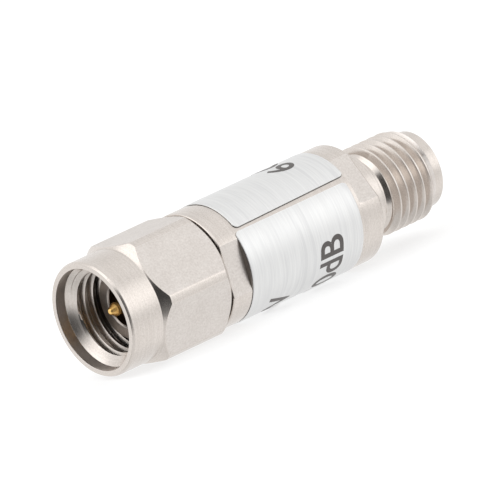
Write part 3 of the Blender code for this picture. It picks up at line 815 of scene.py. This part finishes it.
def wrapped_sheet(name, outside, inside, shadow_creep):
    """The mesh of a sheet wrapped round the body, between two radii."""
    rows = label_rows()
    width = LABEL_COLUMNS + 1
    points = []
    for radius, drop in ((outside, LABEL_EDGE_DROP), (inside, 0.0)):
        for station in rows:
            along = label_row(station, shadow_creep)
            directions = math.radians(LABEL_EDGE) + along / LABEL_RADIUS
            askew = station + LABEL_SKEW * (along / around - 0.5)
            from_edge = min(station - label_front, label_rear - station)
            pressed = radius - drop * max(0.0, 1 - from_edge / LABEL_EDGE_WIDTH)
            points += point_at(askew, pressed, directions).tolist()
    layer = len(rows) * width
    faces = []
    for j in range(len(rows) - 1):
        for i in range(LABEL_COLUMNS):
            a = j * width + i
            faces.append((a, a + 1, a + width + 1, a + width))
            faces.append((layer + a, layer + a + width, layer + a + width + 1, layer + a + 1))
    rim = list(range(width))
    rim += [j * width + LABEL_COLUMNS for j in range(1, len(rows))]
    rim += [(len(rows) - 1) * width + i for i in range(LABEL_COLUMNS - 1, -1, -1)]
    rim += [j * width for j in range(len(rows) - 2, 0, -1)]
    for here, on in zip(rim, rim[1:] + rim[:1]):
        faces.append((on, here, layer + here, layer + on))
    mesh = bpy.data.meshes.new(name)
    mesh.from_pydata(points, [], faces)
    form = bmesh.new()
    form.from_mesh(mesh)
    bmesh.ops.recalc_face_normals(form, faces=form.faces)
    form.to_mesh(mesh)
    form.free()
    return mesh


finish_piece("label_foil_sheet",
             wrapped_sheet("label_foil_sheet", LABEL_RADIUS, LABEL_INSIDE, 0.0),
             "body", "label", [foil])
# The adhesive film, whose dark edge past the foil is a painted shadow line.
finish_piece("label_adhesive_painted_shadow",
             wrapped_sheet("label_adhesive_painted_shadow", ADHESIVE_OUTSIDE, ADHESIVE_INSIDE,
                           PAINTED_SHADOW_CREEP),
             "body", None, [painted_shadow_adhesive])

# %% [markdown]
# Three plain values are printed on the foil in dark grey: how many decibels the part takes
# away, how many watts it bears and how many gigahertz it works up to. They read upwards round
# the body, so the top of each one points to the male end. Each starts as a text object, is made
# a mesh, is cut into narrow bands so that it can bend, and is wrapped onto the foil.

# %% Printed values
MARK_HEIGHT = 2.05
INK_LIFT = 0.004
INK_DEPTH = 0.003
BAND_WIDTH = 0.22
STROKE_OFFSET = 0.014
CURVE_STEPS = 8
# Name, text, alignment, station of its top and direction of the aligned edge in degrees
MARKS = [
    ("printed_attenuation_value", "10dB", "RIGHT", 16.22, 100.8),
    ("printed_power_value", "5W", "RIGHT", 12.10, 139.0),
    ("printed_frequency_value", "6GHz", "LEFT", 16.38, 21.0),
]


def mark_outline(characters, align):
    """Text as a flat mesh in mm, with its base line at 0 and its aligned edge at x = 0."""
    curve = bpy.data.curves.new("mark", "FONT")
    curve.body = characters
    curve.align_x = align
    curve.resolution_u = CURVE_STEPS
    curve.offset = STROKE_OFFSET
    text = bpy.data.objects.new("mark", curve)
    bpy.context.scene.collection.objects.link(text)
    bpy.context.view_layer.update()
    seen = text.evaluated_get(bpy.context.evaluated_depsgraph_get())
    mesh = bpy.data.meshes.new_from_object(seen)
    bpy.data.objects.remove(text)
    spots = np.array([v.co[:2] for v in mesh.vertices])
    low, high = spots.min(0), spots.max(0)
    edge = low[0] if align == "LEFT" else high[0]
    scale = MARK_HEIGHT / (high[1] - low[1])
    for vertex in mesh.vertices:
        vertex.co.x = (vertex.co.x - edge) * scale
        vertex.co.y = (vertex.co.y - low[1]) * scale
    return mesh


def printed_mark(name, characters, align, station, direction):
    """A value wrapped on the foil, its aligned edge at a direction in degrees."""
    mesh = mark_outline(characters, align)
    form = bmesh.new()
    form.from_mesh(mesh)
    across = [v.co.x for v in form.verts]
    for cut in np.arange(min(across) + BAND_WIDTH, max(across), BAND_WIDTH):
        everything = form.verts[:] + form.edges[:] + form.faces[:]
        bmesh.ops.bisect_plane(form, geom=everything, dist=1e-5,
                               plane_co=(cut, 0, 0), plane_no=(1, 0, 0))
    bmesh.ops.triangulate(form, faces=form.faces)
    front = bmesh.ops.extrude_face_region(form, geom=form.faces[:])
    lifted = {v for v in front["geom"] if isinstance(v, bmesh.types.BMVert)}
    for vertex in form.verts:
        radius = LABEL_RADIUS + INK_LIFT + (INK_DEPTH if vertex in lifted else 0)
        turn = math.radians(direction) - vertex.co.x / LABEL_RADIUS
        vertex.co = point_at(station + MARK_HEIGHT - vertex.co.y, radius, turn)
    bmesh.ops.recalc_face_normals(form, faces=form.faces)
    form.to_mesh(mesh)
    form.free()
    finish_piece(name, mesh, "body", None, [ink])


for mark in MARKS:
    printed_mark(*mark)

# %% [markdown]
# The female shell carries the other flange with its pair of flats, a short neck, an undercut
# for the threading tool, the thread itself, a bevel and a smooth pilot. The undercut has
# sloped walls, and the one before the thread mirrors the dark side of the room. The thread
# runs out through the bevel, so its ridges are cut off by an envelope there. The bevel was cut
# across the ridges, which leaves it as matte as the reamed steel.

# %% Female shell
FEMALE_FLANGE_FRONT = housing_rear + SEAM
FEMALE_FLANGE_REAR = 21.99
FLANGE_RUN_IN = 0.30
RUN_IN_ROUNDING = 0.10
FEMALE_BEVEL = 0.12
NECK_END = 23.03
NECK_TAPER = 0.32
UNDERCUT_RADIUS = 2.48
THREAD_START = 23.97
RELIEF_SLOPE = math.tan(math.radians(38))
THREAD_END = 27.53
PILOT_START = 27.95
THREAD_RADIUS = 3.135
THREAD_ROOT = 2.70
PILOT_RADIUS = 2.65
RECESS_RADIUS = 2.31
FEMALE_FACE = 26.73
FEMALE_SEAT = 23.81
FEMALE_FLAT = 59.3
BARREL_THREAD_PHASE = 0.32
BARREL_CREST_SHARE = 0.14


def female_section(direction):
    reach = flange_reach(direction, FEMALE_FLAT)
    step_up = (THREAD_ROOT - UNDERCUT_RADIUS) / RELIEF_SLOPE
    outside = [
        (female_spigot_end, SPIGOT_RADIUS, EDGE),
        (FEMALE_FLANGE_FRONT, SPIGOT_RADIUS, 0),
        (FEMALE_FLANGE_FRONT, min(reach, HOUSING_RADIUS), 0),
        (FEMALE_FLANGE_FRONT + FLANGE_RUN_IN, reach, RUN_IN_ROUNDING),
        (FEMALE_FLANGE_REAR - FEMALE_BEVEL, reach, EDGE),
        (FEMALE_FLANGE_REAR, reach - FEMALE_BEVEL, EDGE),
        (FEMALE_FLANGE_REAR, THREAD_RADIUS, 0),
        (NECK_END, THREAD_RADIUS, EDGE),
        (NECK_END + NECK_TAPER, UNDERCUT_RADIUS, 0),
        (THREAD_START - step_up, UNDERCUT_RADIUS, 0),
        (THREAD_START, THREAD_ROOT, 0),
    ]
    slope = (THREAD_RADIUS - PILOT_RADIUS) / (PILOT_START - THREAD_END)
    ridges = thread_run(THREAD_START, PILOT_START, direction, BARREL_THREAD_PHASE,
                        THREAD_ROOT, THREAD_RADIUS, BARREL_CREST_SHARE)
    thread = [(s, min(r, PILOT_RADIUS + slope * (PILOT_START - s))) for s, r in ridges]
    inside = [
        (PILOT_START, PILOT_RADIUS, 0),
        (female_end, PILOT_RADIUS, EDGE),
        (female_end, RECESS_RADIUS + BORE_BEVEL, EDGE),
        (female_end - BORE_BEVEL, RECESS_RADIUS, EDGE),
        (FEMALE_FACE, RECESS_RADIUS, 0),
        (FEMALE_FACE, LINE_RADIUS, EDGE),
        (FEMALE_SEAT, LINE_RADIUS, 0),
        (FEMALE_SEAT, BEAD_SEAT_RADIUS, 0),
        (female_spigot_end, BEAD_SEAT_RADIUS, 0),
    ]
    return rounded(outside + [(s, r, 0) for s, r in thread] + inside)


female_edges = [FEMALE_FLAT + turn + side * flat_half for turn in (0, 180) for side in (-1, 1)]
female_shell = sweep("female_shell_threaded", female_section, "body", "female_shell",
                     [turned, milled, lit_reamed_steel], directions_with(female_edges))
mill_faces(female_shell, [FEMALE_FLAT, FEMALE_FLAT + 180], FLANGE_HALF_FLATS)
roughen_with_painted_shading(female_shell, 2, THREAD_RADIUS, THREAD_END, PILOT_START)

# %% [markdown]
# The female contact is a gold-plated tube slotted into four fingers, which grip a mating pin.
# The tube is swept, and two crossed boxes cut the slots.

# %% Female contact and its bead
CONTACT_BORE = 0.487
CONTACT_BORE_DEPTH = 2.60
SLOT_WIDTH = 0.14
SLOT_LENGTH = 2.20


def contact_section(_direction):
    first, last = stations_of("female_contact")
    bead_rear = stations_of("female_support_bead")[1]
    return rounded([
        (first, 0.0, 0),
        (first, STUB_RADIUS, 0.04),
        (bead_rear, STUB_RADIUS, 0),
        (bead_rear, CORE_RADIUS, 0.03),
        (last, CORE_RADIUS, 0.05),
        (last, CONTACT_BORE, 0.03),
        (last - CONTACT_BORE_DEPTH, CONTACT_BORE, 0),
        (last - CONTACT_BORE_DEPTH, 0.0, 0),
    ], closed=False)


def cut_slots(piece):
    """Cuts two crossed slots into the mouth of the contact and applies them to its mesh."""
    mouth = NUT_FRONT_X + stations_of("female_contact")[1] * MM
    for direction in (0.0, math.pi / 2):
        form = bmesh.new()
        size = Matrix.Diagonal((2 * SLOT_LENGTH * MM, SLOT_WIDTH * MM, 4 * CORE_RADIUS * MM, 1))
        place = Matrix.Translation((mouth, 0, AXIS_Z)) @ Matrix.Rotation(direction, 4, "X")
        bmesh.ops.create_cube(form, size=1.0, matrix=place @ size)
        mesh = bpy.data.meshes.new("slot")
        form.to_mesh(mesh)
        form.free()
        cutter = bpy.data.objects.new("slot", mesh)
        bpy.context.scene.collection.objects.link(cutter)
        slot = piece.modifiers.new("slot", "BOOLEAN")
        slot.solver = "EXACT"
        slot.object = cutter
        bpy.context.view_layer.update()
        seen = piece.evaluated_get(bpy.context.evaluated_depsgraph_get())
        piece.modifiers.clear()
        cut_mesh = bpy.data.meshes.new_from_object(seen)
        piece.data = cut_mesh
        bpy.data.objects.remove(cutter)
    print(piece.name, "slotted,", len(piece.data.polygons), "faces")


contact = sweep("female_contact_slotted", contact_section, "body", "female_contact", [gold],
                directions_with(steps=SMALL_STEPS), closed=False)
cut_slots(contact)
sweep("female_bead_moulded", lambda _direction: bead_section("female_support_bead"), "body",
      "female_support_bead", [amber_plastic], directions_with(steps=SMALL_STEPS))

# %% [markdown]
# The pieces inside can't be seen, but they are there and they keep their measured solids.
# Each takes the finish of its real material.

# %% Finishes of the hidden pieces
HIDDEN = {
    "nut_retaining_ring": bronze,
    "male_bead_sleeve": plated_brass,
    "female_bead_sleeve": plated_brass,
    "male_inner_contact": gold,
    "female_inner_contact": gold,
    "attenuator_chip": alumina,
    "chip_carrier_upper": plated_brass,
    "chip_carrier_lower": plated_brass,
    "ground_spring_left": bronze,
    "ground_spring_right": bronze,
    "preload_washer": bronze,
}
for node, material in HIDDEN.items():
    solid = frame["nodes"][node]
    solid.data.materials.clear()
    solid.data.materials.append(material)
print("dressed", len(HIDDEN), "hidden solids")

# %% [markdown]
# The part lies on a pale matte table that also glows, like a light table for catalogue
# pictures, so its shadow stays faint. The steel doesn't mirror the table. It mirrors the room,
# which has a lower half of its own for that.

# %% Table
TABLE_SIZE = 6.0
TABLE_ROUGHNESS = 0.9
TABLE_GLOW = 0.70


def table():
    mesh = bpy.data.meshes.new("table")
    form = bmesh.new()
    bmesh.ops.create_grid(form, x_segments=1, y_segments=1, size=TABLE_SIZE / 2)
    form.to_mesh(mesh)
    form.free()
    plane = bpy.data.objects.new("table", mesh)
    bpy.context.scene.collection.objects.link(plane)
    material = bpy.data.materials.new("white_acrylic_table")
    material.use_nodes = True
    shader = material.node_tree.nodes["Principled BSDF"]
    shader.inputs["Base Color"].default_value = colour("A0A0A0")
    shader.inputs["Roughness"].default_value = TABLE_ROUGHNESS
    shader.inputs["Specular IOR Level"].default_value = 0.0
    shader.inputs["Emission Color"].default_value = colour("FFFFFF")
    shader.inputs["Emission Strength"].default_value = TABLE_GLOW
    mesh.materials.append(material)
    plane.visible_glossy = False


table()
print("table", TABLE_SIZE, "m wide")

# %% [markdown]
# Polished metal shows its surroundings more than itself, so the light is drawn as what the
# metal would see in a small studio. It is a pale room all round. Broad glows low on the right
# draw the long highlight along the body. One high behind the nut, and fainter ones high on the
# near side, light the bevels and the upper side of the label. Low behind the nut the room is
# dimmer, which shades the lower side of the threads. The corner where the camera stands is
# dark, in four spots that run together. It draws the dark triangle on the near corner of the
# nut, the dark band in the undercut and the shade inside the nut. Every patch is a round spot
# on the sky that fades smoothly between two angles from its middle, so no hard edge shows in
# the steel.

# %% Studio light
ROOM_LIGHT = 1.0
# Azimuth from +X towards +Y, height, angle where full, angle where gone, and added light,
# which is below zero where the room is dimmer
PATCHES = [
    (-52.0, 14.0, 3.0, 30.0, 0.42),
    (-76.0, 12.0, 4.0, 26.0, 0.45),
    (-10.0, 52.0, 5.0, 25.0, 0.08),
    (-64.0, 56.0, 5.0, 20.0, 0.35),
    (-127.0, 58.0, 8.0, 30.0, 0.28),
    (172.0, 54.0, 15.0, 34.0, 0.70),
    (115.0, 0.0, 10.0, 80.0, 0.12),
    (-35.0, -48.0, 5.0, 32.0, 0.13),
    (150.0, -46.0, 8.0, 28.0, -0.28),
]
# The same four angles, of the spots where only a share of the light is left
DARK_SPOTS = [
    (-130.0, 20.0, 10.0, 25.0),
    (-127.0, -6.0, 8.0, 24.0),
    (-131.0, -24.0, 5.0, 18.0),
    (-154.0, 2.0, 8.0, 32.0),
]
DARK_SHARE = 0.10


def toward(azimuth, elevation):
    """Unit vector to a direction given by its angle from +X towards +Y and its height."""
    a, e = math.radians(azimuth), math.radians(elevation)
    return Vector((math.cos(a) * math.cos(e), math.sin(a) * math.cos(e), math.sin(e)))


def patch(tree, way, spot, outside, inside):
    """A value on the sky: inside near the middle of a round spot, and outside beyond it."""
    azimuth, elevation, full, gone = spot
    facing = add_node(tree, "ShaderNodeVectorMath", {0: way, 1: toward(azimuth, elevation)},
                      operation="DOT_PRODUCT")
    share = add_node(tree, "ShaderNodeMapRange",
                     {"Value": facing.outputs["Value"],
                      "From Min": math.cos(math.radians(gone)),
                      "From Max": math.cos(math.radians(full)),
                      "To Min": outside, "To Max": inside}, interpolation_type="SMOOTHSTEP")
    return share.outputs[0]


def room():
    world = bpy.data.worlds.new("studio_room")
    bpy.context.scene.world = world
    world.use_nodes = True
    tree = world.node_tree
    way = add_node(tree, "ShaderNodeTexCoord").outputs["Generated"]
    light = ROOM_LIGHT
    for *spot, gain in PATCHES:
        glow = patch(tree, way, spot, 0.0, gain)
        light = add_node(tree, "ShaderNodeMath", {0: glow, 1: light}, operation="ADD").outputs[0]
    for spot in DARK_SPOTS:
        shade = patch(tree, way, spot, 1.0, DARK_SHARE)
        light = add_node(tree, "ShaderNodeMath", {0: shade, 1: light},
                         operation="MULTIPLY").outputs[0]
    background = tree.nodes["Background"]
    background.inputs["Color"].default_value = (1.0, 1.0, 1.0, 1.0)
    tree.links.new(light, background.inputs["Strength"])


room()
print("room with", len(PATCHES), "soft patches and", len(DARK_SPOTS), "dark spots")

# %% [markdown]
# The camera looks along the part from the male end and a little above, as the photograph
# does, through a long lens. The part lies on a flat of its nut here, so the camera is rolled
# to bring the axis to the slope that it has in the picture.

# %% Camera
VIEW_AZIMUTH = -36.87
VIEW_ELEVATION = 10.1
VIEW_ROLL = 17.56
VIEW_DISTANCE = 700.0
PICTURE_SIZE = 500
PIXELS_PER_MM = 15.6275
NUT_CENTRE_PIXEL = (92.17, 320.15)
SENSOR = 36.0
NEAREST = 0.01
FARTHEST = 20.0


def camera():
    azimuth, elevation = math.radians(VIEW_AZIMUTH), math.radians(VIEW_ELEVATION)
    roll = math.radians(VIEW_ROLL)
    ahead = Vector((-math.sin(azimuth) * math.cos(elevation),
                    math.cos(azimuth) * math.cos(elevation), -math.sin(elevation)))
    level = ahead.cross(Vector((0, 0, 1))).normalized()
    upright = level.cross(ahead)
    right = math.cos(roll) * level - math.sin(roll) * upright
    up = math.sin(roll) * level + math.cos(roll) * upright
    aside = (NUT_CENTRE_PIXEL[0] - PICTURE_SIZE / 2) / PIXELS_PER_MM
    below = (NUT_CENTRE_PIXEL[1] - PICTURE_SIZE / 2) / PIXELS_PER_MM
    nut_centre = Vector((NUT_FRONT_X, 0, AXIS_Z))
    place = nut_centre - (aside * right - below * up + VIEW_DISTANCE * ahead) * MM
    lens = bpy.data.cameras.new("camera")
    lens.sensor_width = SENSOR
    lens.lens = PIXELS_PER_MM * VIEW_DISTANCE * SENSOR / PICTURE_SIZE
    lens.clip_start = NEAREST
    lens.clip_end = FARTHEST
    eye = bpy.data.objects.new("camera", lens)
    bpy.context.scene.collection.objects.link(eye)
    turn = Matrix((right, up, -ahead)).transposed()
    eye.matrix_world = Matrix.Translation(place) @ turn.to_4x4()
    bpy.context.scene.camera = eye
    return eye


eye = camera()
bpy.context.scene.view_settings.view_transform = "Standard"
print("camera at", [round(c, 3) for c in eye.location], "lens", round(eye.data.lens, 1))
